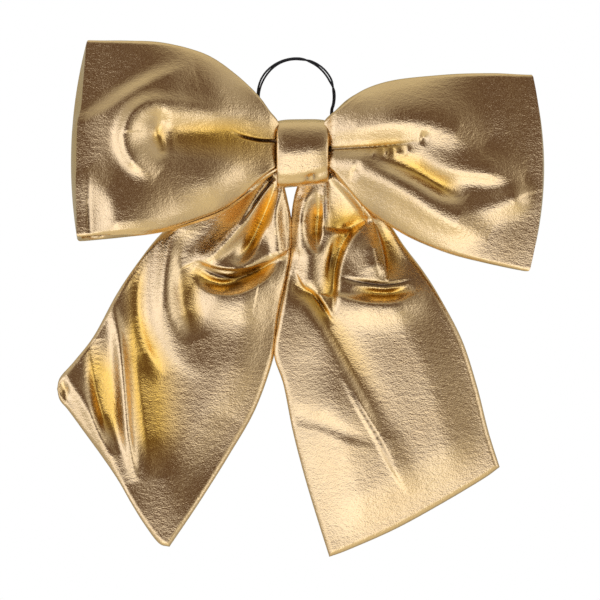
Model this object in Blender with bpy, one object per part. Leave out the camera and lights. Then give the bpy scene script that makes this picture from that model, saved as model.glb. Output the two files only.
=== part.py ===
"""Cheer hair bow: two padded loops and two slanted padded tails, gathered in the middle, bound with
thread, wrapped in a knot of the same cloth, with a doubled hair elastic held under the knot's back.

+X is to the right as the bow is looked at, the front faces -Y and +Z is up. The origin is the centre of
the knot's flat back face. Lengths below are millimetres; MM turns them into metres."""

import math

import bmesh
import bpy
import numpy as np

MM = 0.001

# The cloth sleeve and the wadding in it.
COVER_THICKNESS = 0.8
PAD_GAP = 0.35
PANEL_HALF_THICKNESS = 2.3
PANEL_EDGE_SHARE = 0.74
PAD_EDGE_INSET = 1.7

# The knot, layer by layer from its flat back at y = 0 to its front.
KNOT_HALF_WIDTH = 11.2
KNOT_HALF_HEIGHT = 14.0
KNOT_DEPTH = 26.4
WRAP_THICKNESS = 1.3
LAYER_GAP = 0.3
WRAP_BACK_RADIUS = 5.0
WRAP_FRONT_RADIUS = 4.4
WRAP_INNER_END_Z = -6.0
WRAP_OUTER_END_Z = 8.0
ELASTIC_Y = -4.95
ELASTIC_Z = 7.5
TAIL_GATHER_BACK_Y = -8.2
TAIL_GATHER_LEG = 1.4
TAIL_GATHER_PITCH = 1.9
TAIL_GATHER_LEGS = 3
LOOP_GATHER_BACK_Y = -13.8
LOOP_GATHER_LEG = 1.6
LOOP_GATHER_PITCH = 2.05
LOOP_GATHER_LEGS = 5
GATHER_HALF_WIDTH = 11.0
GATHER_HALF_HEIGHT = 10.2
GATHER_END_SHORT = 1.5
BINDING_RADIUS = 0.45
BINDING_TURNS = 4
BINDING_HALF_LENGTH = 6.0
BINDING_BACK_Y = -7.45
BINDING_FRONT_Y = -24.35
BINDING_TOP_Z = 11.4
BINDING_CORNER = 2.3

# The hair elastic: two strands side by side in a ring that closes through the knot.
STRAND_RADIUS = 0.55
STRAND_OFFSET = 0.72
RING_RADIUS = 15.8
RING_CENTRE = (-2.75, 24.55)
CHANNEL_HALF_LENGTH = 11.6

# Where the loops leave the knot, and the line that each one bends about.
PINCH_X = 14.6
LOOP_CENTRE_Y = -18.7
LOOP_HINGE_X = 15.2
LOOP_EDGE_FLATNESS = 0.86

# A loop seen from above: (share of the reach, y) of its front panel's and rear panel's middle layer.
LOOP_FRONT_PLAN = [(0.0, -21.7), (0.12, -26.4), (0.3, -31.4), (0.52, -33.5), (0.74, -31.2)]
LOOP_REAR_PLAN = [(0.74, -9.8), (0.52, -8.6), (0.3, -9.9), (0.12, -13.0), (0.0, -15.7)]

# Outlines as (distance from the middle, z), and the outer fold as a + b v + c v v for v from -1 to 1.
LEFT_LOOP = {
    "side": -1,
    "top": [(14, 17.6), (20, 24.5), (30, 33), (40, 40), (50, 43.8), (62, 46.4), (75, 47.4), (93, 47.8)],
    "bottom": [(14, -10), (20, -14), (27, -19.5), (35, -24.8), (45, -28.7), (60, -33), (77, -35.8), (97, -38)],
    "fold": (99.2, -2.0, -4.6),
    "fold_radius": 7.5,
}
RIGHT_LOOP = {
    "side": 1,
    "top": [(14, 17.6), (22, 23), (30, 27), (40, 29.8), (55, 31.7), (70, 33), (84, 33.5), (99, 33)],
    "bottom": [(14, -9), (22, -17.5), (30, -25), (40, -31.6), (50, -37), (64, -42.6), (80, -47.2), (97, -50.9)],
    "fold": (103.7, 0.7, -6.0),
    "fold_radius": 2.8,
}

# Tails: (x, z) of the inner and the outer edge, from the knot to the slanted end.
LEFT_TAIL = {
    "inner": [(-8.4, -17.6), (-5.5, -26), (-4.9, -40), (-7.4, -57), (-10.4, -72), (-12.4, -88), (-20.2, -110)]
    + [(-31.6, -130), (-44.5, -150.5), (-57.4, -169.3)],
    "outer": [(-17.5, -15.2), (-31, -18), (-46, -24), (-60.5, -34), (-71.5, -47.5), (-80.5, -61)]
    + [(-90, -78.5), (-98.5, -90), (-105.2, -101.5)],
}
RIGHT_TAIL = {
    "inner": [(-2.4, -17.6), (-4.2, -24), (-4.1, -40), (-6.5, -57), (-9.5, -72), (-11.4, -87), (-8.2, -100)]
    + [(-4.2, -120), (1, -140), (6.4, -158), (11.8, -174.2)],
    "outer": [(17.5, -16.6), (27, -21.5), (36, -30), (44, -40), (51.6, -50), (58.6, -61), (68.6, -80)]
    + [(75.2, -100), (80.3, -120), (85, -135)],
}
TAIL_HINGE_Z = -14.5
TAIL_PINCH_Y = -10.8
TAIL_BODY_Y = -5.0
TAIL_SETTLE_SHARE = 0.2
TAIL_END_SHARE = 0.12
TAIL_EDGE_HALF_THICKNESS = 1.9
TAIL_MIDDLE_HALF_THICKNESS = 4.1
TAIL_PINCH_HALF_THICKNESS = 2.3

ACROSS_LOOP = np.array([-1.0, -0.6, 0.0, 0.6, 1.0])
ACROSS_TAIL = np.array([-1.0, -0.8, -0.4, 0.0, 0.4, 0.8, 1.0])
TAIL_STATIONS = 14


def remove_scene_objects():
    for old in list(bpy.data.objects):
        bpy.data.objects.remove(old, do_unlink=True)


def make_material(name, colour, roughness, metallic):
    made = bpy.data.materials.new(name)
    made.use_nodes = True
    shader = made.node_tree.nodes["Principled BSDF"]
    shader.inputs["Base Color"].default_value = (*colour, 1.0)
    shader.inputs["Roughness"].default_value = roughness
    shader.inputs["Metallic"].default_value = metallic
    return made


def make_pivot(name, x, y, z):
    """An empty on a joint's axis, given in millimetres."""
    pivot = bpy.data.objects.new(name, None)
    pivot.location = (x * MM, y * MM, z * MM)
    bpy.context.scene.collection.objects.link(pivot)
    return pivot


def place(made, material, pivot):
    """Gives an object its material and hangs it on its pivot, whose place its points are counted from."""
    made.data.materials.append(material)
    bpy.context.scene.collection.objects.link(made)
    if pivot:
        made.parent = pivot


def origin_of(pivot):
    return np.array(pivot.location) / MM if pivot else np.zeros(3)


def solid_from(name, points, faces, material, pivot=None, wall=None, wall_offset=-1.0, sharp_degrees=50):
    """A mesh object from millimetre points, with a Solidify wall where one is given."""
    mesh = bpy.data.meshes.new(name)
    local = (np.asarray(points, float) - origin_of(pivot)) * MM
    mesh.from_pydata([tuple(p) for p in local], [], faces)
    shape = bmesh.new()
    shape.from_mesh(mesh)
    bmesh.ops.recalc_face_normals(shape, faces=shape.faces)
    shape.to_mesh(mesh)
    shape.free()
    mesh.shade_smooth()
    mesh.set_sharp_from_angle(angle=math.radians(sharp_degrees))
    made = bpy.data.objects.new(name, mesh)
    place(made, material, pivot)
    if wall:
        solidify = made.modifiers.new("wall", "SOLIDIFY")
        solidify.thickness = wall * MM
        solidify.offset = wall_offset
    return made


def through(points, count):
    """count points, evenly spread by length, on the smooth curve that runs through the given ones."""
    points = np.asarray(points, float)
    padded = np.vstack([2 * points[0] - points[1], points, 2 * points[-1] - points[-2]])
    fine = []
    for i in range(len(points) - 1):
        p0, p1, p2, p3 = padded[i : i + 4]
        for t in np.linspace(0, 1, 12, endpoint=False):
            fine.append(
                0.5 * (2 * p1 + (p2 - p0) * t + (2 * p0 - 5 * p1 + 4 * p2 - p3) * t**2)
                + 0.5 * (3 * p1 - p0 - 3 * p2 + p3) * t**3
            )
    fine.append(points[-1])
    fine = np.array(fine)
    run = np.concatenate([[0], np.cumsum(np.linalg.norm(np.diff(fine, axis=0), axis=1))])
    at = np.linspace(0, run[-1], count)
    return np.stack([np.interp(at, run, fine[:, k]) for k in range(fine.shape[1])], axis=1)


def height_at(outline, distance):
    known = np.array(outline, float)
    return np.interp(distance, known[:, 0], known[:, 1])


def loop_plan(loop):
    """(share of the reach, y) along the whole loop: front panel, round outer fold, rear panel."""
    radius = loop["fold_radius"]
    reach = loop["fold"][0] - PANEL_HALF_THICKNESS - PINCH_X
    turn = [math.radians(a) for a in (-90, -50, 0, 50, 90)]
    fold = [(1 + (math.cos(a) - 1) * radius / reach, LOOP_CENTRE_Y + math.sin(a) * radius) for a in turn]
    front = through(LOOP_FRONT_PLAN + fold[:1], 8)[:-1]
    rear = through(fold[-1:] + LOOP_REAR_PLAN, 8)[1:]
    return np.vstack([front, fold, rear])


def loop_middle_surface(loop, across):
    """Points of the middle layer, as [station, place across the band]."""
    a, b, c = loop["fold"]
    rows = []
    for share, y in loop_plan(loop):
        reach = PINCH_X + share * (a + b * across + c * across**2 - PANEL_HALF_THICKNESS - PINCH_X)
        top = height_at(loop["top"], PINCH_X + share * (a + b + c - PINCH_X))
        bottom = height_at(loop["bottom"], PINCH_X + share * (a - b + c - PINCH_X))
        z = bottom + (top - bottom) * (across + 1) / 2
        flat = 1 - (1 - LOOP_EDGE_FLATNESS) * across**2
        depth = LOOP_CENTRE_Y + (y - LOOP_CENTRE_Y) * flat
        rows.append(np.stack([loop["side"] * reach, depth, z], axis=1))
    return np.array(rows)


def tail_middle_surface(tail, across):
    """Points of the middle layer, as [station, place across the tail]."""
    inner = through(tail["inner"], TAIL_STATIONS)
    outer = through(tail["outer"], TAIL_STATIONS)
    rows = []
    for i in range(TAIL_STATIONS):
        share = i / (TAIL_STATIONS - 1)
        settle = min(share / TAIL_SETTLE_SHARE, 1.0)
        settle = settle * settle * (3 - 2 * settle)
        y = TAIL_PINCH_Y + (TAIL_BODY_Y - TAIL_PINCH_Y) * settle
        line = inner[i] + (outer[i] - inner[i]) * ((across + 1) / 2)[:, None]
        rows.append(np.stack([line[:, 0], np.full(len(across), y), line[:, 1]], axis=1))
    return np.array(rows)


def loop_half_thickness(stations, across):
    share = 1 - (1 - PANEL_EDGE_SHARE) * across**4
    return np.tile(PANEL_HALF_THICKNESS * share, (stations, 1))


def tail_half_thickness(stations, across):
    """Thin at the edges and full in the middle, drawn in to the pinch and to the slanted end."""
    crown = TAIL_MIDDLE_HALF_THICKNESS - TAIL_EDGE_HALF_THICKNESS
    lens = TAIL_EDGE_HALF_THICKNESS + crown * (1 - across**2)
    rows = []
    for share in np.linspace(0, 1, stations):
        end = TAIL_PINCH_HALF_THICKNESS if share < 0.5 else TAIL_EDGE_HALF_THICKNESS
        full = min(share / TAIL_SETTLE_SHARE, (1 - share) / TAIL_END_SHARE, 1.0)
        rows.append(end + (lens - end) * full)
    return np.array(rows)


def surface_normals(middle):
    along = np.gradient(middle, axis=0)
    over = np.gradient(middle, axis=1)
    normal = np.cross(along, over)
    return normal / np.linalg.norm(normal, axis=2, keepdims=True)


def drawn_in(middle, inset):
    """The same rows with both long edges moved towards the middle by inset."""
    moved = middle.copy()
    for row in moved:
        half = np.linalg.norm(row[-1] - row[0]) / 2
        centre = (row[0] + row[-1]) / 2
        row[:] = centre + (row - centre) * (1 - inset / half)
    return moved


def sleeve_points(middle, half_thickness, normals):
    """Rings round the band: out along one side of the middle layer and back along the other."""
    offset = normals * half_thickness[:, :, None]
    return np.concatenate([middle + offset, (middle - offset)[:, ::-1]], axis=1)


def sleeve_faces(stations, ring, start_closed, end_closed):
    faces = []
    for i in range(stations - 1):
        for j in range(ring):
            k = (j + 1) % ring
            faces.append([i * ring + j, i * ring + k, (i + 1) * ring + k, (i + 1) * ring + j])
    for closed, first in ((start_closed, 0), (end_closed, (stations - 1) * ring)):
        if closed:
            for j in range(ring // 2 - 1):
                far = ring - 1 - j
                faces.append([first + j, first + j + 1, first + far - 1, first + far])
    return faces


def make_sleeve(name, middle, half_thickness, material, pivot, end_closed):
    """A cloth sleeve, open at the knot."""
    stations, ring = middle.shape[0], 2 * middle.shape[1]
    points = sleeve_points(middle, half_thickness, surface_normals(middle)).reshape(-1, 3)
    faces = sleeve_faces(stations, ring, False, end_closed)
    return solid_from(name, points, faces, material, pivot, wall=COVER_THICKNESS)


def make_wadding(name, middle, half_thickness, material, pivot, end_short):
    """The flat wadding inside a sleeve, a gap smaller all round."""
    normals = surface_normals(middle)
    inner = drawn_in(middle, PAD_EDGE_INSET)
    if end_short:
        inner[-1] = inner[-1] + (inner[-2] - inner[-1]) * 0.25
    stations, ring = inner.shape[0], 2 * inner.shape[1]
    thin = half_thickness - COVER_THICKNESS - PAD_GAP
    points = sleeve_points(inner, thin, normals).reshape(-1, 3)
    return solid_from(name, points, sleeve_faces(stations, ring, True, True), material, pivot)


def make_loop(word, loop, cloth, wadding):
    pivot = make_pivot(f"{word}_loop_pivot", loop["side"] * LOOP_HINGE_X, LOOP_CENTRE_Y, 0)
    middle = loop_middle_surface(loop, ACROSS_LOOP)
    thickness = loop_half_thickness(len(middle), ACROSS_LOOP)
    make_sleeve(f"{word}_loop_cover", middle, thickness, cloth, pivot, end_closed=False)
    make_wadding(f"{word}_loop_padding", middle, thickness, wadding, pivot, end_short=False)


def make_tail(word, tail, cloth, wadding):
    pivot = make_pivot(f"{word}_tail_pivot", 0, TAIL_PINCH_Y, TAIL_HINGE_Z)
    middle = tail_middle_surface(tail, ACROSS_TAIL)
    thickness = tail_half_thickness(TAIL_STATIONS, ACROSS_TAIL)
    make_sleeve(f"{word}_tail_cover", middle, thickness, cloth, pivot, end_closed=True)
    make_wadding(f"{word}_tail_padding", middle, thickness, wadding, pivot, end_short=True)


def arc(centre_y, centre_z, radius, start, end, count=5):
    """Points (y, z) on an arc; angles are in degrees from +Y towards +Z."""
    angles = np.radians(np.linspace(start, end, count))
    return [(centre_y + radius * math.cos(a), centre_z + radius * math.sin(a)) for a in angles]


def make_strip(name, path, thickness, half_width, material):
    """A flat strip as wide as 2 half_width along X, following a path of (y, z) points."""
    points = [(x, y, z) for y, z in path for x in (-half_width, half_width)]
    faces = [[2 * i, 2 * i + 1, 2 * i + 3, 2 * i + 2] for i in range(len(path) - 1)]
    made = solid_from(name, points, faces, material, wall=thickness, wall_offset=0.0, sharp_degrees=35)
    made.modifiers["wall"].use_even_offset = True
    return made


def wrap_path():
    """Once round the knot and over its own start: the inner end lies under the flat outer end."""
    half = WRAP_THICKNESS / 2
    top = KNOT_HALF_HEIGHT - half
    inner_back = -(WRAP_THICKNESS + LAYER_GAP) - half
    outer_back = -half
    front = -KNOT_DEPTH + half
    back_r, front_r = WRAP_BACK_RADIUS, WRAP_FRONT_RADIUS
    path = [(inner_back, WRAP_INNER_END_Z)]
    path += arc(inner_back - back_r, top - back_r, back_r, 0, 90)
    path += arc(front + front_r, top - front_r, front_r, 90, 180, 6)
    path += arc(front + front_r, front_r - top, front_r, 180, 270, 6)
    path += arc(outer_back - back_r, back_r - top, back_r, 270, 360)
    path.append((outer_back, WRAP_OUTER_END_Z))
    return path


def pleat_path(back_y, leg, pitch, legs):
    """Legs that run up and down the gather's height, joined by round turns, from back to front."""
    radius = pitch / 2
    straight = GATHER_HALF_HEIGHT - radius - leg / 2
    end = GATHER_HALF_HEIGHT - GATHER_END_SHORT
    path = [(back_y - leg / 2, -end)]
    for i in range(legs - 1):
        y = back_y - leg / 2 - i * pitch
        if i % 2 == 0:
            path += arc(y - radius, straight, radius, 0, 180)
        else:
            path += arc(y - radius, -straight, radius, 360, 180)
    path.append((back_y - leg / 2 - (legs - 1) * pitch, end if legs % 2 else -end))
    return path


def make_round_cord(name, points, radius, material, pivot=None, closed=False, sides=2):
    """A cord as a bevelled curve through millimetre points."""
    curve = bpy.data.curves.new(name, "CURVE")
    curve.dimensions = "3D"
    curve.bevel_depth = radius * MM
    curve.bevel_resolution = sides
    curve.use_fill_caps = not closed
    spline = curve.splines.new("POLY")
    local = (np.asarray(points, float) - origin_of(pivot)) * MM
    spline.points.add(len(local) - 1)
    for point, place_at in zip(spline.points, local):
        point.co = (*place_at, 1.0)
    spline.use_cyclic_u = closed
    made = bpy.data.objects.new(name, curve)
    place(made, material, pivot)
    return made


def binding_route():
    """A helix of square turns with round corners, wound round both gathers."""
    top, r = BINDING_TOP_Z, BINDING_CORNER
    back, front = BINDING_BACK_Y, BINDING_FRONT_Y
    turn = arc(back - r, top - r, r, 0, 90, 4) + arc(front + r, top - r, r, 90, 180, 4)
    turn += arc(front + r, r - top, r, 180, 270, 4) + arc(back - r, r - top, r, 270, 360, 4)
    total = BINDING_TURNS * len(turn)
    x = np.linspace(-BINDING_HALF_LENGTH, BINDING_HALF_LENGTH, total)
    return [(x[i], *turn[i % len(turn)]) for i in range(total)]


def ring_turn():
    """One turn of the elastic's middle line as (x, z), and how far round each other the strands are."""
    centre_x, centre_z = RING_CENTRE
    angles = np.radians(np.linspace(-20, 216, 25))
    ring = [(centre_x + RING_RADIUS * math.cos(a), centre_z + RING_RADIUS * math.sin(a)) for a in angles]
    left = [(-15.4, 11.9), (-14.9, 9.4), (-13.4, 7.9)]
    channel = [(x, ELASTIC_Z) for x in np.linspace(-CHANNEL_HALF_LENGTH, CHANNEL_HALF_LENGTH, 7)]
    right = [(12.7, 8.3), (13.0, 10.2), (12.9, 13.2), (12.6, 16.2)]
    twist = [0.0] * len(ring) + [0.12, 0.27, 0.42] + [0.5] * len(channel) + [0.5, 0.5, 0.6, 0.8]
    return np.array(ring + left + channel + right), math.pi * np.array(twist)


def elastic_route():
    """Two turns that lie side by side in the ring and change places by half a twist through the knot."""
    turn, twist = ring_turn()
    ahead, behind = np.roll(turn, -1, axis=0), np.roll(turn, 1, axis=0)
    tangent = (ahead - behind) / np.linalg.norm(ahead - behind, axis=1, keepdims=True)
    outward = np.stack([tangent[:, 1], -tangent[:, 0]], axis=1)
    route = []
    for start in (0.0, math.pi):
        for (x, z), (out_x, out_z), angle in zip(turn, outward, start + twist):
            side = STRAND_OFFSET * math.cos(angle)
            depth = STRAND_OFFSET * math.sin(angle)
            route.append((x + out_x * side, ELASTIC_Y + depth, z + out_z * side))
    return route


def build():
    remove_scene_objects()
    cloth = make_material("gold_lame", (0.76, 0.58, 0.31), 0.3, 0.9)
    wadding = make_material("white_wadding", (0.92, 0.91, 0.88), 0.95, 0.0)
    elastic = make_material("black_elastic", (0.02, 0.02, 0.02), 0.6, 0.0)
    thread = make_material("gold_thread", (0.72, 0.55, 0.3), 0.6, 0.0)

    make_loop("left", LEFT_LOOP, cloth, wadding)
    make_loop("right", RIGHT_LOOP, cloth, wadding)
    make_tail("left", LEFT_TAIL, cloth, wadding)
    make_tail("right", RIGHT_TAIL, cloth, wadding)

    loop_pleats = pleat_path(LOOP_GATHER_BACK_Y, LOOP_GATHER_LEG, LOOP_GATHER_PITCH, LOOP_GATHER_LEGS)
    make_strip("loop_gather", loop_pleats, LOOP_GATHER_LEG, GATHER_HALF_WIDTH, cloth)
    tail_pleats = pleat_path(TAIL_GATHER_BACK_Y, TAIL_GATHER_LEG, TAIL_GATHER_PITCH, TAIL_GATHER_LEGS)
    make_strip("tail_gather", tail_pleats, TAIL_GATHER_LEG, GATHER_HALF_WIDTH, cloth)
    make_strip("knot_wrap", wrap_path(), WRAP_THICKNESS, KNOT_HALF_WIDTH, cloth)
    make_round_cord("binding_thread", binding_route(), BINDING_RADIUS, thread, sides=1)
    pivot = make_pivot("elastic_pivot", 0, ELASTIC_Y, ELASTIC_Z)
    make_round_cord("hair_elastic", elastic_route(), STRAND_RADIUS, elastic, pivot, closed=True)


build()
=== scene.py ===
"""Looks of the cheer hair bow: padded metallic cloth loops and tails, the wrapped knot and the elastic.

Unless a comment says metres, lengths are millimetres in the CAD's own axes (+X right, front towards -Y,
+Z up), and MM turns them into metres. Each padded piece is a fine closed mesh, and its folds are
listed ridges and valleys over its outline."""

import math

import bmesh
import bpy
import numpy as np
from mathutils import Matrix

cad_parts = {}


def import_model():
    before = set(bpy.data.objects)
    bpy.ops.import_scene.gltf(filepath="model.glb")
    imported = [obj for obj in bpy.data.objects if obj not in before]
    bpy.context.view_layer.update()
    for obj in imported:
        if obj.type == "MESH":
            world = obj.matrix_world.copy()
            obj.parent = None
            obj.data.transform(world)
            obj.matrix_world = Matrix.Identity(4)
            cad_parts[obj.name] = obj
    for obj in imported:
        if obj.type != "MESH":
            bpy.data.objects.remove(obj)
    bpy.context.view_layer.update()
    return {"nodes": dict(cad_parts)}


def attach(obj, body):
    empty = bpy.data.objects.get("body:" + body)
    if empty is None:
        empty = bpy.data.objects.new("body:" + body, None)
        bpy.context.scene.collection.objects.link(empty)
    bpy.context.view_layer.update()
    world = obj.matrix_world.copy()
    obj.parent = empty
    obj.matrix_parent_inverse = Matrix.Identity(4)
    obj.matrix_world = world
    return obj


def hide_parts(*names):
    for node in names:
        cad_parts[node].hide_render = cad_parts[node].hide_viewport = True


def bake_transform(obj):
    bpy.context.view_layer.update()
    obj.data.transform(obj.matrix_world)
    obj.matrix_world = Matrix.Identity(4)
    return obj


MM = 0.001

# Edges of a mesh that bend by more than this are shaded as sharp.
SHARP_ANGLE = math.radians(40)
# A fold is worked out this many of its widths to each side of its line.
FOLD_REACH = 2.7
# A fold with both widths up to CREASE_WIDTH is a crease. Valleys are tinted with a painted orange
# reflection and creases with a painted dark shade, each full at the depth given below for it.
CREASE_WIDTH = 1.0
PAINTED_SHADE_DEPTH = 1.2
PAINTED_REFLECTION_DEPTH = 2.3

# Loops. "share" is the share of the way from the pinch at the knot (0) to the front panel's outer edge (1);
# it is negative inside the knot. "across" runs from -1 at the bottom edge to 1 at the top edge.
ENTRY_SHARE = -0.055
ENTRY_LENGTH = 0.06
PINCH_X = 14.6
LOOP_CENTRE_Y = -18.7
LOOP_HALF_THICKNESS = 2.35
FOLD_HALF_THICKNESS = 1.1
LOOP_ROUND_EDGE = 1.7
# The outer fold: its radius in plan, how far its rear half curves back towards the knot (a share of the
# reach), and a typical reach, which gives the plan's rows their spacing.
FOLD_RADIUS = 13.6
FOLD_REAR_CURVE = 0.12
LOOP_REACH = 82.0
# Rows of a loop's mesh on the front panel, the outer fold and the rear panel, and columns over its height.
LOOP_ROWS = (150, 31, 80)
LOOP_COLUMNS = 190
# The two panels lean towards each other along their top and bottom edges, over this width, and are curved
# a little all the way across.
EDGE_LEAN = 5.5
EDGE_LEAN_WIDTH = 15.0
PANEL_CURVE = 2.4
# Share of a fold's height that moves both faces of the piece; the rest lifts only the outer face, and
# fades in over FADE from the edges. The heights and the thickness start at these shares in the knot.
LOOP_SHARED_FOLD = 0.75
LOOP_FOLD_FADE = 5.0
ENTRY_FOLD = 0.5
ENTRY_THICKNESS = 0.7
# The panels' middle layers in plan: (share, y), out along the front and back along the rear.
LOOP_FRONT_PLAN = [(-0.055, -22.4), (0.0, -23.8), (0.12, -26.8), (0.3, -30.2), (0.52, -31.4), (0.78, -31.3)]
LOOP_REAR_PLAN = [(0.74, -9.8), (0.52, -8.6), (0.3, -9.9), (0.12, -13.0), (0.0, -15.7), (-0.055, -16.8)]
# Outlines: "top" and "bottom" are (distance from the middle of the bow, z). "fold" holds a, b and c of the
# loop's outermost distance, a + b * across + c * across**2, and "fold_depth" is how far the fold bulges
# beyond the front panel. The front panel's bottom edge lies "front_bottom_rise" above the outline.
# "front_tilt" is how far back the front panel leans per millimetre of height above its middle, and how
# much that grows with every millimetre.
LEFT_LOOP = {
    "side": -1,
    "top": [(9.5, 11.5), (11.3, 14.6), (14, 17.6), (20, 24.5), (30, 33), (40, 40), (50, 43.8), (62, 46.4)]
    + [(75, 47.4), (93, 47.8), (100, 47.8)],
    "bottom": [(9.5, -7.2), (11.3, -8.6), (14, -10), (20, -14), (27, -19.5), (35, -24.8), (45, -28.7)]
    + [(60, -33), (77, -35.8), (97, -38), (100, -38.2)],
    "fold": (99.2, -2.0, -4.6),
    "fold_depth": 3.9,
    "front_bottom_rise": 1.6,
    "front_tilt": (0.065, 0.0),
}
RIGHT_LOOP = {
    "side": 1,
    "top": [(9.0, 12.5), (10.5, 14.8), (14, 17.6), (22, 23), (30, 27), (40, 29.8), (55, 31.7), (70, 33)]
    + [(84, 33.5), (99, 33), (105, 33)],
    "bottom": [(9.0, -4.4), (10.5, -5.6), (14, -9), (22, -17.5), (30, -25), (40, -31.6), (50, -37)]
    + [(64, -42.6), (80, -47.2), (97, -50.9), (105, -52.4)],
    "fold": (103.7, 0.7, -6.0),
    "fold_depth": 1.2,
    "front_bottom_rise": 0.0,
    "front_tilt": (0.012, 0.0009),
}

# Tails: edge curves (x, z). "inner" and "outer" run away from the knot, "start" and "end" run from the
# inner edge to the outer one. "hang" is (distance below the knot's middle, y of the tail's middle layer).
LEFT_TAIL = {
    "inner": [(-8.0, -13.2), (-6.4, -20), (-4.6, -30), (-4.6, -42), (-7.0, -57), (-10.0, -72), (-12.2, -87)]
    + [(-20.2, -110), (-31.6, -130), (-44.5, -150.5), (-57.4, -169.6)],
    "outer": [(-12.6, -4.0), (-20, -9.5), (-32, -15.5), (-46, -23), (-60.5, -34), (-71.5, -47.5)]
    + [(-80.5, -61), (-90, -78.5), (-98.5, -89.5), (-104.6, -96.5), (-106, -101.5)],
    "start": [(-8.0, -13.2), (-10.8, -9.4), (-12.6, -4.0)],
    "hang": [(2, -10.8), (14, -9.4), (28, -6.8), (46, -5.0), (90, -6.2), (130, -6.3), (155, -9.2)]
    + [(175, -9.8)],
    "end": [(-57.4, -169.6), (-62, -168), (-68, -160.2), (-73.8, -151), (-79.6, -141), (-86.4, -131)]
    + [(-94, -120.6), (-101.0, -111), (-104.8, -106.4), (-106, -101.5)],
}
RIGHT_TAIL = {
    "inner": [(-2.0, -13.2), (-3.7, -19), (-4.9, -28), (-5.0, -42), (-7.4, -57), (-10.3, -72)]
    + [(-12.3, -86.6), (-8.2, -100), (-4.2, -120), (1, -140), (6.4, -158), (11.6, -174.4)],
    "outer": [(12.6, -3.0), (18.5, -10.5), (27, -18), (36, -28), (44, -40), (51.6, -50), (58.6, -61)]
    + [(68.6, -80), (75.2, -100), (80.3, -120), (85.2, -135.4)],
    "start": [(-2.0, -13.2), (7, -12.4), (12.6, -3.0)],
    "hang": [(2, -10.8), (14, -9.4), (28, -6.8), (44, -6.4), (70, -8.8), (120, -5.6), (176, 0.4)],
    "end": [(11.6, -174.4), (20, -171.3), (40, -162.4), (60, -151.4), (78, -140.6), (85.2, -135.4)],
}
TAIL_ROWS = 380
TAIL_COLUMNS = 170
# Half thickness along the edges and in the middle; the middle is reached CROWN_WIDTH in from the edges and
# TAIL_SETTLE below the knot.
TAIL_EDGE_HALF = 1.9
TAIL_MIDDLE_HALF = 4.1
CROWN_WIDTH = 22.0
TAIL_SETTLE = 26.0
TAIL_ROUND_EDGE = 2.6
# As for the loops; the folds' heights reach their full size TAIL_ENTRY_LENGTH below the start.
TAIL_SHARED_FOLD = 0.7
TAIL_FOLD_FADE = 4.5
TAIL_ENTRY_FOLD = 0.4
TAIL_ENTRY_LENGTH = 8.0

# Folds of the front faces. Each is (points (x, z) along it, heights along it, width to its left, width to
# its right), as seen from the front when looking along the points. A negative height is a valley.
LEFT_LOOP_FOLDS = [
    # The ridge that curves round the dimple.
    ([(-26, 13.5), (-40, 17.5), (-55, 20), (-66, 19.5), (-73, 14), (-75.5, 5), (-72, -3.5), (-62, -10.5)],
     [0, 0.6, 0.9, 1.6, 3.0, 3.5, 2.9, 0], 8.5, 4.2),
    # The long hollow from the knot, the dimple at its end and the crease at its start.
    ([(-12, 5.2), (-20, 5.8), (-30, 7.4), (-42, 8), (-54, 8), (-64, 8)],
     [-1.2, -2.0, -2.8, -3.0, -3.0, -1.4], 10.0, 6.4),
    ([(-60.5, 13), (-62, 8), (-60.5, 1)], [-1.6, -2.6, -1.6], 3.4, 3.8),
    ([(-11.5, 4.9), (-19, 5.3), (-26, 7.0), (-31, 9.6)], [-1.3, -1.5, -1.2, 0], 0.8, 0.6),
    # Ridges in the upper and the lower outer corner, and a crease beside the outer fold.
    ([(-94, 11), (-84, 16), (-74, 23), (-64, 28.5), (-54, 32.5), (-46, 34.5)],
     [1.6, 2.7, 3.2, 3.0, 1.8, 0], 4.6, 28),
    ([(-90.5, -6), (-85, -14), (-79, -23), (-78, -36)], [0, 2.4, 3.6, 3.8], 24, 8.5),
    ([(-91.2, -9), (-91.5, -20), (-91, -34)], [0, -0.5, -0.4], 0.9, 0.6),
    # A low swell below the hollow.
    ([(-25, -9), (-40, -13), (-56, -16)], [0, 1.0, 0], 8, 9),
]
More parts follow.
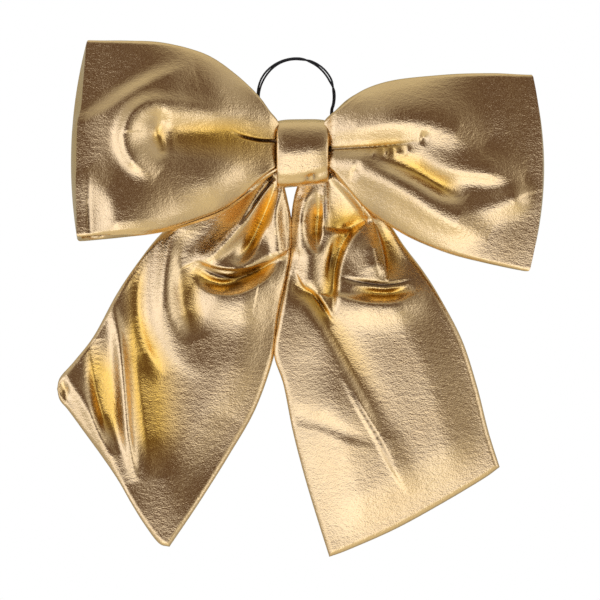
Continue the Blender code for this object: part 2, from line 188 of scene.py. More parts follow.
RIGHT_LOOP_FOLDS = [
    # The broad ridge above the pleat.
    ([(11, 8.4), (22, 10.8), (36, 12.6), (50, 13), (62, 10), (78, 2.5)],
     [1.4, 2.5, 2.9, 2.9, 2.4, 0], 13, 8),
    # The pleat that runs out from the knot: its valley, its crease and the tuck at its end.
    ([(10.5, 1.4), (20, 1.8), (30, 2.4), (40, 3.2), (50.5, 4.4)], [-1.6, -2.0, -2.2, -2.0, 0], 6.0, 3.6),
    ([(10.5, 1.4), (20, 1.8), (30, 2.4), (40, 3.2), (50.5, 4.4)], [-0.8, -0.7, -0.7, -0.6, 0], 0.7, 0.6),
    ([(50.4, 3), (51.2, 5.5), (51.8, 9.2)], [0, -1.6, 0], 0.8, 2.4),
    # Small puckers on the lower side of the pleat.
    ([(30.5, 2.2), (31, 0), (30, -2.5)], [0, 0.7, 0], 1.1, 0.6),
    ([(35, 2.6), (35.8, 0), (35, -2.8)], [0, 0.8, 0], 1.1, 0.6),
    ([(39.5, 2.8), (40.5, 0), (40, -3)], [0, 0.8, 0], 1.1, 0.6),
    ([(44, 3), (45, 0.6), (44.6, -2.4)], [0, 0.7, 0], 1.1, 0.6),
    # The hollow below the pleat and the ridge below the hollow.
    ([(27, -1.2), (36, -3.6), (49, -9), (60, -15.5), (70, -20.5)], [0, -2.4, -3.6, -3.4, 0], 5.5, 3.6),
    ([(12, -3), (28, -7.5), (44, -16), (56, -24), (67, -30), (80, -35)],
     [1.0, 2.0, 2.6, 2.8, 2.6, 0], 9, 5.6),
    # Swells on the outer half.
    ([(50, -5), (64, -7), (80, -9), (95, -11)], [0, 1.6, 2.4, 0], 9, 4.4),
    ([(70, -23), (80, -23), (90, -20)], [0.6, 1.6, 2.4], 7, 6),
    # A short tuck near the knot.
    ([(21.5, -12), (23, -8), (24.5, -3.5)], [0, -0.9, 0], 0.9, 2.0),
]
LEFT_TAIL_FOLDS = [
    # Pleats that fan out from the knot.
    ([(-12.5, -10), (-17, -16), (-25, -29), (-36, -41), (-45, -46)], [1.0, 2.6, 3.8, 3.6, 1.5], 3.4, 5.4),
    ([(-11.5, -12), (-14, -20), (-18.5, -30), (-23, -40), (-27, -46)],
     [-1.5, -3.8, -4.6, -4.0, -1.0], 2.4, 2.6),
    ([(-9.5, -13), (-11.4, -20), (-11.6, -30), (-10.5, -42)], [1.0, 2.4, 2.8, 2.0], 3.0, 3.2),
    # The buckle across the tail below them: ridge, valley and ridge.
    ([(-47, -45), (-38, -48.5), (-28, -49.5), (-18, -47.5), (-8, -42.5)],
     [0, 2.2, 2.6, 2.2, 1.0], 6.0, 0.8),
    ([(-47, -50), (-40, -55), (-32, -56), (-21, -51.5), (-10, -44)], [0, -3.0, -4.0, -3.4, 0], 2.4, 2.6),
    ([(-47, -56.5), (-39, -61), (-27, -61), (-15, -55), (-8, -46.5)], [0, 2.4, 3.2, 2.8, 0], 2.4, 11.0),
    # Long soft folds down the outer side, from the middle of the tail outwards.
    ([(-50, -33), (-52, -46), (-51.5, -60), (-48.5, -72), (-45, -80)], [0, -2.2, -3.2, -3.0, 0], 9.0, 5.0),
    ([(-53, -29), (-56.5, -40), (-59, -58), (-58.5, -74), (-54.5, -86), (-46, -92), (-38, -90)],
     [2.4, 3.2, 3.2, 2.8, 1.6, 0.5, 0], 10.0, 4.6),
    ([(-68, -42), (-71, -54), (-71.5, -68), (-68, -84), (-60, -98)], [0, -1.8, -2.2, -2.0, 0], 3.2, 5.0),
    ([(-72.5, -70), (-71.5, -84), (-69.5, -100), (-67, -120), (-63.5, -140)],
     [0, -2.6, -3.0, -2.6, 0], 14.0, 4.2),
    ([(-82, -66), (-79, -80), (-77, -100), (-75.5, -120), (-72, -142)], [0.6, 2.6, 3.2, 3.0, 0], 2.2, 3.0),
    ([(-91, -80), (-90, -92), (-87.5, -106), (-82, -130)], [0, -3.4, -3.8, 0], 9.5, 3.2),
    # The ridge beside the end seam, and the curled outer corner.
    ([(-101, -97), (-94, -107.5), (-87, -121), (-79.5, -137)], [1.0, 2.2, 2.4, 0.6], 4.2, 3.4),
    ([(-104.5, -95), (-102.5, -102), (-103, -109)], [0, -1.4, 0], 1.8, 2.8),
    # A soft line above the buckle's valley and a crease between the pleats.
    ([(-45, -48), (-37, -52.2), (-29, -53.2), (-19, -50), (-11, -45.5)],
     [0, -1.2, -1.2, -0.8, 0], 1.0, 1.0),
    ([(-12.5, -11), (-18, -18), (-27, -31)], [-1.2, -1.2, 0], 0.7, 0.7),
    # A low swell on the plain lower part.
    ([(-22, -72), (-26, -92), (-32, -114)], [1.2, 1.2, 0], 10, 14),
]
RIGHT_TAIL_FOLDS = [
    # Pleats that fan out from the knot.
    ([(6, -12), (1.5, -20), (-1.2, -30), (-1.5, -40)], [1.2, 2.6, 2.8, 1.6], 3.6, 3.0),
    ([(9, -18), (7.0, -26), (6.0, -34), (5.6, -43)], [0, -3.0, -3.6, 0], 1.8, 3.2),
    ([(9.8, -12), (9.6, -22), (10, -33)], [0.8, 2.0, 0], 1.3, 2.0),
    ([(12.5, -9), (20, -16), (28.5, -26.5)], [1.0, 2.6, 2.4], 2.8, 2.2),
    # The crumple below them: the hollow across it and the valley that leads down from it.
    ([(7.5, -30), (12, -31.5), (19, -31.8), (26, -28.8), (29, -27)], [0, -2.2, -2.8, -1.6, 0], 10, 2.0),
    ([(29, -26.5), (22, -32), (17, -39), (14, -48), (13, -58), (12.6, -70)],
     [-1.0, -3.2, -4.0, -3.8, -2.8, 0], 1.8, 4.0),
    # The ridge and the sharp valley to the right of the crumple.
    ([(28, -33), (30, -41), (31.5, -49), (32, -56)], [0.8, 3.0, 2.6, 0], 3.6, 9.0),
    ([(31, -28.5), (35, -38), (37, -48), (37, -57)], [0, -2.2, -2.2, 0], 7.0, 0.9),
    # The buckle across the right half: soft line, valley and ridge.
    ([(16, -53.5), (26, -55.6), (37, -56.6), (48, -54.6)], [0, -1.2, -1.2, 0], 1.0, 1.0),
    ([(21, -58), (29, -60), (38, -60.4), (48, -57.6)], [0, -2.8, -3.2, 0], 2.4, 2.6),
    ([(14, -62), (27, -64.6), (42, -64), (54, -58)], [1.0, 2.6, 2.2, 0], 2.0, 8.5),
    # The ridge beside the inner edge.
    ([(1.5, -32), (3, -44), (2.5, -54)], [1.4, 2.6, 2.2], 5.0, 5.0),
    # The long diagonal fold: its start, its valley and the ridge along its lower part.
    ([(-4, -50), (0, -57.5), (6, -62), (11.5, -70.5), (13.5, -74)], [0, -2.0, -2.4, -2.0, 0], 0.9, 5.2),
    ([(3, -60), (12, -75), (22, -93), (30, -109), (37, -124)], [-0.8, -1.3, -1.3, -1.0, 0], 7.0, 3.2),
    ([(17, -96), (25, -110), (32, -122), (40, -137), (47, -148)], [0, 0.9, 1.1, 1.0, 0], 7.0, 1.1),
    # The edge of the light patch left of the diagonal.
    ([(-6, -117.5), (8, -121), (20, -126), (33, -129)], [0.3, 0.8, 0.9, 0], 3.4, 14.0),
    # Fine creases in the diagonal, the pleats and the crumple.
    ([(19, -99), (25, -110), (32, -122), (40, -137)], [0, -0.7, -0.8, 0], 0.6, 0.6),
    ([(10, -13), (9.6, -22), (10.2, -33)], [0, -1.2, 0], 0.8, 0.6),
    ([(13.5, -36), (12.4, -44), (10.6, -54)], [0, -1.0, 0], 0.9, 0.9),
    ([(2, -58.5), (7, -64), (12, -72)], [0, -1.0, 0], 0.7, 0.7),
    # A broad swell left of the diagonal.
    ([(-4, -105), (8, -109), (20, -115), (32, -122)], [0.8, 1.5, 1.2, 0], 15.0, 7.5),
]
# Folds of both loops' rear panels, with x measured outwards from the middle of the bow.
REAR_FOLDS = [
    ([(12, 5), (30, 9), (52, 12)], [2.2, 2.4, 0], 5, 5),
    ([(12, 0), (30, 0), (56, -1)], [-2.4, -2.6, 0], 4, 4),
    ([(12, -3), (30, -10), (54, -18)], [2.0, 2.6, 0], 5, 6),
    ([(14, 10), (28, 19), (44, 26)], [-1.4, -1.8, 0], 4, 4),
]


def through(points, shares):
    """Points at these shares of the length of the smooth curve that runs through the given ones."""
    points = np.asarray(points, float)
    padded = np.vstack([2 * points[0] - points[1], points, 2 * points[-1] - points[-2]])
    fine = []
    for i in range(len(points) - 1):
        p0, p1, p2, p3 = padded[i : i + 4]
        for t in np.linspace(0, 1, 16, endpoint=False):
            fine.append(
                0.5 * (2 * p1 + (p2 - p0) * t + (2 * p0 - 5 * p1 + 4 * p2 - p3) * t**2)
                + 0.5 * (3 * p1 - p0 - 3 * p2 + p3) * t**3
            )
    fine.append(points[-1])
    fine = np.array(fine)
    run = np.concatenate([[0], np.cumsum(np.linalg.norm(np.diff(fine, axis=0), axis=1))])
    at = np.asarray(shares) * run[-1]
    return np.stack([np.interp(at, run, fine[:, k]) for k in range(fine.shape[1])], axis=1)


def smooth(x):
    """An even rise from 0 to 1 while x goes from 0 to 1."""
    x = np.clip(x, 0.0, 1.0)
    return x * x * (3 - 2 * x)


def height_at(outline, distance):
    """Second coordinate of an outline at this first coordinate."""
    line = through(outline, np.linspace(0, 1, 240))
    return np.interp(distance, line[:, 0], line[:, 1])


def crowded(count, share):
    """count numbers from 0 to 1 that stand closer together towards both ends."""
    s = np.linspace(0, 1, count)
    return s - share * np.sin(2 * math.pi * s) / (2 * math.pi)


def relief(x, z, folds):
    """Height of a face at each (x, z), summed over its folds.

    Each fold's height fades with the distance from its line, and is averaged over the line's nearest parts,
    so that it has no jump where the nearest part changes."""
    height = np.zeros(x.shape)
    for points, tops, left, right in folds:
        line = through(points, np.linspace(0, 1, 6 * len(points)))
        along = np.interp(np.linspace(0, 1, len(line)), np.linspace(0, 1, len(tops)), tops)
        reach = FOLD_REACH * max(left, right)
        low, high = line.min(axis=0) - reach, line.max(axis=0) + reach
        near = (x > low[0]) & (x < high[0]) & (z > low[1]) & (z < high[1])
        px, pz = x[near], z[near]
        total, weights = np.zeros(px.shape), np.zeros(px.shape)
        for i in range(len(line) - 1):
            start, step = line[i], line[i + 1] - line[i]
            t = np.clip(((px - start[0]) * step[0] + (pz - start[1]) * step[1]) / (step @ step), 0, 1)
            off_x = px - start[0] - t * step[0]
            off_z = pz - start[1] - t * step[1]
            squared = off_x**2 + off_z**2
            width = np.where(step[0] * off_z - step[1] * off_x > 0, left, right)
            weight = (squared + 0.2) ** -6
            total += weight * (along[i] + t * (along[i + 1] - along[i])) * np.exp(-squared / width**2)
            weights += weight
        height[near] += total / weights
    return height


def folded(x, z, folds):
    """(height, amount of painted orange reflection, amount of painted dark shade) of a face, the last two
    from 0 to 1; the reflection goes in its hollows and the shade in its creases.
    """
    wide = relief(x, z, [fold for fold in folds if max(fold[2:]) > CREASE_WIDTH])
    narrow = relief(x, z, [fold for fold in folds if max(fold[2:]) <= CREASE_WIDTH])
    return wide + narrow, np.clip(-wide / PAINTED_REFLECTION_DEPTH, 0, 1), np.clip(-narrow / PAINTED_SHADE_DEPTH, 0, 1)


def rounded(distance, radius):
    """Share of the full thickness at this distance from a rounded edge."""
    return np.sqrt(1 - (1 - np.clip(distance / radius, 0, 1)) ** 2)


def grid_faces(rows, columns, start=0, flip=False):
    """Quads of a grid of points that is stored row by row from this index on."""
    faces = []
    for i in range(rows - 1):
        for j in range(columns - 1):
            a = start + i * columns + j
            face = [a, a + 1, a + columns + 1, a + columns]
            faces.append(face[::-1] if flip else face)
    return faces


def mesh_piece(name, points, faces, material, **tones):
    """A smooth-shaded object from millimetre points, with doubled points welded and faces turned outwards.

    tones are numbers per point that the material reads by name."""
    mesh = bpy.data.meshes.new(name)
    mesh.from_pydata([tuple(p) for p in np.asarray(points) * MM], [], faces)
    for tone, values in tones.items():
        mesh.attributes.new(tone, "FLOAT", "POINT").data.foreach_set("value", values.ravel())
    shape = bmesh.new()
    shape.from_mesh(mesh)
    bmesh.ops.remove_doubles(shape, verts=shape.verts, dist=1e-6)
    bmesh.ops.recalc_face_normals(shape, faces=shape.faces)
    for edge in shape.edges:
        edge.smooth = len(edge.link_faces) != 2 or edge.calc_face_angle() < SHARP_ANGLE
    shape.to_mesh(mesh)
    shape.free()
    mesh.shade_smooth()
    made = bpy.data.objects.new(name, mesh)
    made.data.materials.append(material)
    bpy.context.scene.collection.objects.link(made)
    return made


def sheet_piece(name, outer, inner, open_rows, material, **tones):
    """A closed object from the two faces of a sheet, given as points in [row, column].

    The side edges meet by themselves; the rows at the sheet's open ends are joined up here."""
    rows, columns = outer.shape[:2]
    points = np.vstack([outer.reshape(-1, 3), inner.reshape(-1, 3)])
    faces = grid_faces(rows, columns) + grid_faces(rows, columns, rows * columns, True)
    for row in open_rows:
        for low in range(row * columns, (row + 1) * columns - 1):
            high = low + rows * columns
            faces.append([low, low + 1, high + 1, high])
    return mesh_piece(name, points, faces, material, **tones)


def outer_face_only(tone):
    """Values of a tone for both faces of a sheet, of which only the outer one has it."""
    return np.stack([tone, tone * 0])


# ---------------------------------------------------------------- padded pieces


def loop_plan(front_count, fold_count, rear_count):
    """(share, y, how far into the fold's bulge, facing) of every row; facing is 1 in front and -1 behind.

    The fold's front half runs straight from a corner at the front panel, and its rear half is round."""
    turn = np.radians(np.linspace(-90, 90, fold_count))
    rear_turn = np.clip(turn, 0, None)
    depth = np.where(turn < 0, np.sin(turn) * np.abs(np.sin(turn)), np.sin(turn))
    fold_share = 1 - FOLD_REAR_CURVE * (1 - np.cos(rear_turn))
    fold = np.stack([fold_share, LOOP_CENTRE_Y + FOLD_RADIUS * depth], axis=1)
    scale = np.array([LOOP_REACH, 1.0])
    front_line = np.array(LOOP_FRONT_PLAN + [tuple(fold[0])]) * scale
    rear_line = np.array([tuple(fold[-1])] + LOOP_REAR_PLAN) * scale
    front = through(front_line, np.linspace(0, 1, front_count)) / scale
    rear = through(rear_line, np.linspace(0, 1, rear_count)) / scale
    plan = np.vstack([front[:-1], fold, rear[1:]])
    bulge = np.where(turn < 0, np.cos(turn) ** 2, np.cos(turn))
    out = np.concatenate([np.zeros(front_count - 1), bulge, np.zeros(rear_count - 1)])
    facing = np.concatenate([np.ones(front_count - 1), -np.sin(turn), -np.ones(rear_count - 1)])
    return plan[:, :1], plan[:, 1:], out[:, None], facing[:, None]


def mitred(middle, side):
    """Outward direction at every point of a sheet's middle layer, lengthened where its rows turn a corner.

    Where the rows double back on themselves the lengthening fades out."""
    over = np.gradient(middle, axis=1)
    faces = np.cross(np.diff(middle, axis=0), (over[1:] + over[:-1]) / 2) * side
    faces /= np.linalg.norm(faces, axis=2, keepdims=True)
    before, after = np.concatenate([faces[:1], faces]), np.concatenate([faces, faces[-1:]])
    alike = np.sum(before * after, axis=2, keepdims=True)
    both = before + after
    both /= np.linalg.norm(both, axis=2, keepdims=True)
    lengthened = np.sqrt(2 / np.clip(1 + alike, 0.9, 2))
    return both * (1 + (lengthened - 1) * smooth((alike + 0.6) / 0.5))


def loop_faces_at(loop, folds):
    """Outer and inner face of a loop's band as points in [row, column], and its outer face's tones: the
    amounts of painted reflection in its hollows and painted shade in its creases.
    """
    share, y, out, facing = loop_plan(*LOOP_ROWS)
    across = crowded(LOOP_COLUMNS, 0.55) * 2 - 1
    a, b, c = loop["fold"]
    v = across[None, :]
    front = np.clip(facing, 0, 1)
    depth_of_fold = loop["fold_depth"] * (1 - 0.9 * v**2)
    edge = a + b * v + c * v**2 - FOLD_HALF_THICKNESS - depth_of_fold
    reach = PINCH_X + share * (edge - PINCH_X) + out * depth_of_fold
    top = height_at(loop["top"], PINCH_X + share * (a + b + c - PINCH_X))
    bottom = height_at(loop["bottom"], PINCH_X + share * (a - b + c - PINCH_X))
    bottom = bottom + loop["front_bottom_rise"] * front
    half_height = (top - bottom) / 2
    z = bottom + half_height * (v + 1)
    from_edge = (1 - np.abs(v)) * half_height
    # The lean grows out of the pinch, and most of it is gone by the outer part of the panels.
    fullness = smooth((share + 0.02) / 0.25) * (1 - 0.65 * smooth((share - 0.7) / 0.3))
    flatness = 1 - 0.88 * smooth((share - 0.3) / 0.5)
    edge_lean = EDGE_LEAN * (1 - rounded(from_edge, EDGE_LEAN_WIDTH)) + PANEL_CURVE * v**2
    lean = fullness * flatness * edge_lean
    from_middle = z - (top + bottom) / 2
    tilt, bow = loop["front_tilt"]
    upturn = from_middle * (tilt + bow * from_middle) * smooth((share - 0.3) / 0.4) * smooth(front)
    depth = y + facing * lean + upturn
    middle = np.stack([loop["side"] * reach, depth, z], axis=2)
    normal = mitred(middle, loop["side"])
    x, z = middle[:, :, 0], middle[:, :, 2]
    bumps, hollow_painted_reflection, crease_painted_shade = folded(x, z, folds)
    bumps = bumps * smooth(front) + relief(np.abs(x), z, REAR_FOLDS) * smooth(-facing)
    entry = smooth((share - ENTRY_SHARE) / ENTRY_LENGTH)
    bumps = bumps * (ENTRY_FOLD + (1 - ENTRY_FOLD) * entry)
    full = FOLD_HALF_THICKNESS + (LOOP_HALF_THICKNESS - FOLD_HALF_THICKNESS) * smooth((1 - share) / 0.2)
    thick = full * rounded(from_edge, LOOP_ROUND_EDGE) * (ENTRY_THICKNESS + (1 - ENTRY_THICKNESS) * entry)
    away_from_edge = smooth(from_edge / LOOP_FOLD_FADE)
    shared = bumps * LOOP_SHARED_FOLD
    outer = middle + normal * (thick + shared + (bumps - shared) * away_from_edge)[:, :, None]
    inner = middle + normal * (shared - thick)[:, :, None]
    return outer, inner, hollow_painted_reflection * smooth(front), crease_painted_shade * smooth(front)


def make_loop(name, loop, folds, material):
    """A loop as one padded band from the knot's front, round the outer fold, to the knot's back."""
    outer, inner, hollow_painted_reflection, crease_painted_shade = loop_faces_at(loop, folds)
    tones = {"hollow_painted_reflection": outer_face_only(hollow_painted_reflection), "crease_painted_shade": outer_face_only(crease_painted_shade)}
    return sheet_piece(name, outer, inner, (0, len(outer) - 1), material, **tones)


def edge_patch(piece, u, v):
    """(x, z) inside the four edge curves, as [along, across]."""
    inner, outer = through(piece["inner"], u), through(piece["outer"], u)
    start, end = through(piece["start"], v), through(piece["end"], v)
    u, v = u[:, None, None], v[None, :, None]
    corners = (
        (1 - u) * (1 - v) * inner[0] + (1 - u) * v * outer[0] + u * (1 - v) * inner[-1] + u * v * outer[-1]
    )
    ruled = (1 - v) * inner[:, None] + v * outer[:, None] + (1 - u) * start[None] + u * end[None]
    return ruled - corners


def tail_faces_at(piece, folds):
    """Front and back face of a tail as points in [row, column], and its front face's tones: the amounts of
    painted reflection in its hollows and painted shade in its creases.
    """
    u, v = crowded(TAIL_ROWS, 0.3) ** 1.15, crowded(TAIL_COLUMNS, 0.5)
    flat = edge_patch(piece, u, v)
    x, z = flat[:, :, 0], flat[:, :, 1]
    width = np.linalg.norm(flat[:, -1] - flat[:, 0], axis=1)[:, None]
    length = np.linalg.norm(flat[-1] - flat[0], axis=1)[None, :]
    run = u[:, None] * length
    from_side = np.minimum(v, 1 - v)[None, :] * width
    from_end = (1 - u)[:, None] * length
    from_edge = np.minimum(from_side, from_end)
    settle = smooth(run / TAIL_SETTLE)
    centre_y = height_at(piece["hang"], -z)
    crown = (TAIL_MIDDLE_HALF - TAIL_EDGE_HALF) * settle
    crown = crown * smooth(from_side / CROWN_WIDTH) * smooth(from_end / CROWN_WIDTH)
    thick = (TAIL_EDGE_HALF + crown) * rounded(from_edge, TAIL_ROUND_EDGE)
    bumps, hollow_painted_reflection, crease_painted_shade = folded(x, z, folds)
    bumps = bumps * (TAIL_ENTRY_FOLD + (1 - TAIL_ENTRY_FOLD) * smooth(run / TAIL_ENTRY_LENGTH))
    shared = bumps * TAIL_SHARED_FOLD
    front_y = centre_y - shared - thick - (bumps - shared) * smooth(from_edge / TAIL_FOLD_FADE)
    back_y = centre_y - shared + thick
    return np.stack([x, front_y, z], axis=2), np.stack([x, back_y, z], axis=2), hollow_painted_reflection, crease_painted_shade


def make_tail(name, piece, folds, material):
    """A tail as one padded sleeve that is thin at its edges and its end seam."""
    front, back, hollow_painted_reflection, crease_painted_shade = tail_faces_at(piece, folds)
    tones = {"hollow_painted_reflection": outer_face_only(hollow_painted_reflection), "crease_painted_shade": outer_face_only(crease_painted_shade)}
    return sheet_piece(name, front, back, (0,), material, **tones)


# ---------------------------------------------------------------- knot

WRAP_HALF_WIDTH = 11.1
WRAP_THICKNESS = 1.3
WRAP_ROUND_EDGE = 0.9
WRAP_ROWS = 220
WRAP_COLUMNS = 64
# Seen from the side the wrap is an oval with a flat back. WRAP_SQUARENESS is the oval's power: 2 is an
# ellipse, and a higher one is squarer. The wrap's inner and outer end lie at WRAP_INNER_Y and WRAP_OUTER_Y.
WRAP_TOP = 13.35
WRAP_CENTRE_Y = -13.4
WRAP_HALF_DEPTH = 12.35
WRAP_SQUARENESS = 4.0
WRAP_BACK_RADIUS = 5.0
WRAP_INNER_Y = -2.25
WRAP_OUTER_Y = -0.65
# The front stands out by WRAP_FULLNESS, and its side edges lie WRAP_CURL further in. The underside rises
# to the right by WRAP_SKEW per millimetre.
WRAP_FULLNESS = 0.25
WRAP_CURL = 0.9
WRAP_SKEW = 0.1
# Folds of the wrap's front, written as those of the loops.
WRAP_FOLDS = [
    ([(-11, 1.0), (-4, 0.6), (4, 1.4), (11, 2.2)], [1.6, 1.8, 1.9, 1.7], 9.0, 6.0),
    ([(-11, -10.2), (-2, -10.8), (6, -9.8), (11, -8.6)], [-0.5, -0.5, -0.7, -0.5], 1.6, 1.5),
    ([(0, -12.4), (3.5, -11.6), (7, -10.2)], [0, -1.5, 0], 1.7, 1.6),
]


def arc(centre_y, centre_z, radius, start, end, count):
    """Points (y, z) along an arc between two angles in degrees."""
    angles = np.radians(np.linspace(start, end, count))
    return [(centre_y + radius * math.cos(a), centre_z + radius * math.sin(a)) for a in angles]


def wrap_line():
    """Middle line (y, z) of the wrap: once round the knot, with the flat outer end over the inner one."""
    line = [(WRAP_INNER_Y, -6.0), (WRAP_INNER_Y, 0.0)]
    line += arc(WRAP_INNER_Y - WRAP_BACK_RADIUS, WRAP_TOP - WRAP_BACK_RADIUS, WRAP_BACK_RADIUS, 0, 90, 8)
    for degrees in np.linspace(90, 270, 48)[1:-1]:
        a = math.radians(degrees)
        depth = abs(math.cos(a)) ** (2 / WRAP_SQUARENESS)
        height = math.copysign(abs(math.sin(a)) ** (2 / WRAP_SQUARENESS), math.sin(a))
        line.append((WRAP_CENTRE_Y - WRAP_HALF_DEPTH * depth, WRAP_TOP * height))
    line += arc(WRAP_OUTER_Y - WRAP_BACK_RADIUS, WRAP_BACK_RADIUS - WRAP_TOP, WRAP_BACK_RADIUS, 270, 360, 8)
    line += [(WRAP_OUTER_Y, 0.0), (WRAP_OUTER_Y, 8.0)]
    return line


def make_knot(material):
    """The wrap as one strip of cloth round the knot."""
    line = through(wrap_line(), np.linspace(0, 1, WRAP_ROWS))
    across = crowded(WRAP_COLUMNS, 0.6) * 2 - 1
    step = np.gradient(line, axis=0)
    outward = np.stack([step[:, 1], -step[:, 0]], axis=1)
    outward /= np.linalg.norm(outward, axis=1, keepdims=True)
    x = WRAP_HALF_WIDTH * across[None, :] + np.zeros((len(line), 1))
    z = line[:, 1:] + np.zeros((1, len(across)))
    front = smooth((-line[:, :1] - 10.0) / 6.0)
    side = np.abs(across)[None, :]
    bumps = relief(x, z, WRAP_FOLDS) * front
    shape = (WRAP_FULLNESS - WRAP_CURL * side**4) * front
    half = WRAP_THICKNESS / 2 * rounded((1 - side) * WRAP_HALF_WIDTH, WRAP_ROUND_EDGE)
    faces_at = []
    for sign in (1, -1):
        lift = sign * half + bumps + shape
        y = line[:, :1] + outward[:, :1] * lift
        height = line[:, 1:] + outward[:, 1:] * lift
        height = height + WRAP_SKEW * x * smooth((-height - 2.0) / 10.0)
        faces_at.append(np.stack([x, y, height], axis=2))
    return sheet_piece("knot_wrap_cloth", *faces_at, (0, WRAP_ROWS - 1), material)


def tube(path, radius, sides, closed):
    """Points and faces of a round tube along a path."""
    path = np.asarray(path, float)
    if closed:
        tangent = np.roll(path, -1, axis=0) - np.roll(path, 1, axis=0)
    else:
        tangent = np.gradient(path, axis=0)
    tangent /= np.linalg.norm(tangent, axis=1, keepdims=True)
    first = np.cross(tangent, [0.0, 1.0, 0.0])
    first /= np.linalg.norm(first, axis=1, keepdims=True)
    second = np.cross(tangent, first)
    count = len(path)
    angle = np.linspace(0, 2 * math.pi, sides, endpoint=False)[None, :, None]
    points = path[:, None] + radius * (first[:, None] * np.cos(angle) + second[:, None] * np.sin(angle))
    faces = []
    for i in range(count if closed else count - 1):
        k = (i + 1) % count
        for j in range(sides):
            m = (j + 1) % sides
            faces.append([i * sides + j, i * sides + m, k * sides + m, k * sides + j])
    if not closed:
        faces.append(list(range(sides)))
        faces.append([(count - 1) * sides + j for j in range(sides)])
    return points.reshape(-1, 3), faces


STITCH_RADIUS = 0.22
STITCH_COUNT = 9


def make_stitches(material):
    """Small slanted slip stitches that hold the wrap's outer end down at the back of the knot."""
    points, faces = [], []
    for x in np.linspace(-9.0, 9.0, STITCH_COUNT):
        path = [(x - 0.5, -0.75, 8.9), (x - 0.35, -0.3, 8.7), (x + 0.15, 0.12, 7.9), (x + 0.5, -0.1, 7.0)]
        made, quads = tube(through(path, np.linspace(0, 1, 12)), STITCH_RADIUS, 8, False)
        faces += [[len(points) + i for i in quad] for quad in quads]
        points += list(made)
    return mesh_piece("wrap_stitches", points, faces, material)


# ---------------------------------------------------------------- hair elastic

# Where the channel for the elastic runs through the back of the knot.
ELASTIC_Y = -4.95
ELASTIC_Z = 7.5
CHANNEL_HALF_LENGTH = 11.6
STRAND_RADIUS = 0.42
RING_RADIUS = 16.4
RING_CENTRE = (-2.75, 24.6)
# Where the ring starts and ends, in degrees anticlockwise from the right as seen from the front.
RING_START = -20
RING_END = 216
# How far each strand lies from the pair's middle line: in the ring's plane (least and most), in the same
# plane inside the knot, and in depth.
RING_GAP = (0.26, 0.54)
KNOT_GAP = 0.4
DEPTH_GAP = 0.6
# Points along the endless route, and how many of them at each end to look for the seam in.
ROUTE_POINTS = 1400
ROUTE_SEAM = 200


def elastic_turn():
    """One turn of the pair's middle line as (x, z), its twist and the strands' distance from that line.

    The strands cross at the right and at the top of the ring, and once more inside the knot."""
    centre_x, centre_z = RING_CENTRE
    degrees = np.linspace(RING_START, RING_END, 33)
    angles = np.radians(degrees)
    ring = [(centre_x + RING_RADIUS * math.cos(a), centre_z + RING_RADIUS * math.sin(a)) for a in angles]
    left = [(-15.4, 11.9), (-14.9, 9.4), (-13.4, 7.9)]
    channel = [(x, ELASTIC_Z) for x in np.linspace(-CHANNEL_HALF_LENGTH, CHANNEL_HALF_LENGTH, 7)]
    right = [(12.7, 8.3), (13.0, 10.2), (12.9, 13.2), (12.6, 16.2)]
    # In half turns: one at the right of the ring, one at its top and one on the way through the knot.
    crossing = list(smooth((degrees - 62) / 26) + smooth(degrees / 30))
    least, most = RING_GAP
    apart = list(least + (most - least) * np.sin(np.radians((degrees - RING_START) * 1.6)) ** 4)
    twist = crossing + [2.12, 2.27, 2.42] + [2.5] * len(channel) + [2.5, 2.5, 2.6, 2.8]
    apart += [KNOT_GAP] * (len(left) + len(channel) + len(right))
    return np.array(ring + left + channel + right), math.pi * np.array(twist), np.array(apart)


def make_elastic(material):
    """An endless cord that goes round twice and changes places by half a twist inside the knot."""
    turn, twist, apart = elastic_turn()
    ahead, behind = np.roll(turn, -1, axis=0), np.roll(turn, 1, axis=0)
    tangent = (ahead - behind) / np.linalg.norm(ahead - behind, axis=1, keepdims=True)
    route = []
    for start in (0.0, math.pi):
        for (x, z), (along_x, along_z), angle, gap in zip(turn, tangent, start + twist, apart):
            side = gap * math.cos(angle)
            depth = DEPTH_GAP * math.sin(angle)
            route.append((x + along_z * side, ELASTIC_Y + depth, z - along_x * side))
    overlapping = np.array(route[-2:] + route + route[:3])
    fine = through(overlapping, np.linspace(0, 1, ROUTE_POINTS))
    last_part = ROUTE_POINTS - ROUTE_SEAM
    first = np.argmin(np.linalg.norm(fine[:ROUTE_SEAM] - overlapping[2], axis=1))
    last = last_part + np.argmin(np.linalg.norm(fine[last_part:] - overlapping[-3], axis=1))
    points, faces = tube(fine[first:last], STRAND_RADIUS, 14, True)
    return mesh_piece("hair_elastic_cord", points, faces, material)


# ---------------------------------------------------------------- materials


def new_material(name):
    """(material, its nodes, its links, its shader)."""
    made = bpy.data.materials.new(name)
    made.use_nodes = True
    tree = made.node_tree
    return made, tree.nodes, tree.links, tree.nodes["Principled BSDF"]


def add_noise(nodes, links, where, scale, detail, stretch=(1, 1, 1)):
    """Noise over these coordinates, which are stretched first."""
    spread = nodes.new("ShaderNodeMapping")
    spread.inputs["Scale"].default_value = stretch
    links.new(where, spread.inputs["Vector"])
    noise = nodes.new("ShaderNodeTexNoise")
    noise.inputs["Scale"].default_value = scale
    noise.inputs["Detail"].default_value = detail
    links.new(spread.outputs["Vector"], noise.inputs["Vector"])
    return noise.outputs["Fac"]


def add_range(nodes, links, value, low, high, to_low, to_high):
    """The value carried over from one range to another."""
    span = nodes.new("ShaderNodeMapRange")
    for name, number in (("From Min", low), ("From Max", high), ("To Min", to_low), ("To Max", to_high)):
        span.inputs[name].default_value = number
    links.new(value, span.inputs["Value"])
    return span.outputs["Result"]


def add_bump(nodes, links, height, distance, strength, under=None):
    """A bump of this many metres, on top of the one under it."""
    bump = nodes.new("ShaderNodeBump")
    bump.inputs["Distance"].default_value = distance
    bump.inputs["Strength"].default_value = strength
    links.new(height, bump.inputs["Height"])
    if under:
        links.new(under, bump.inputs["Normal"])
    return bump.outputs["Normal"]


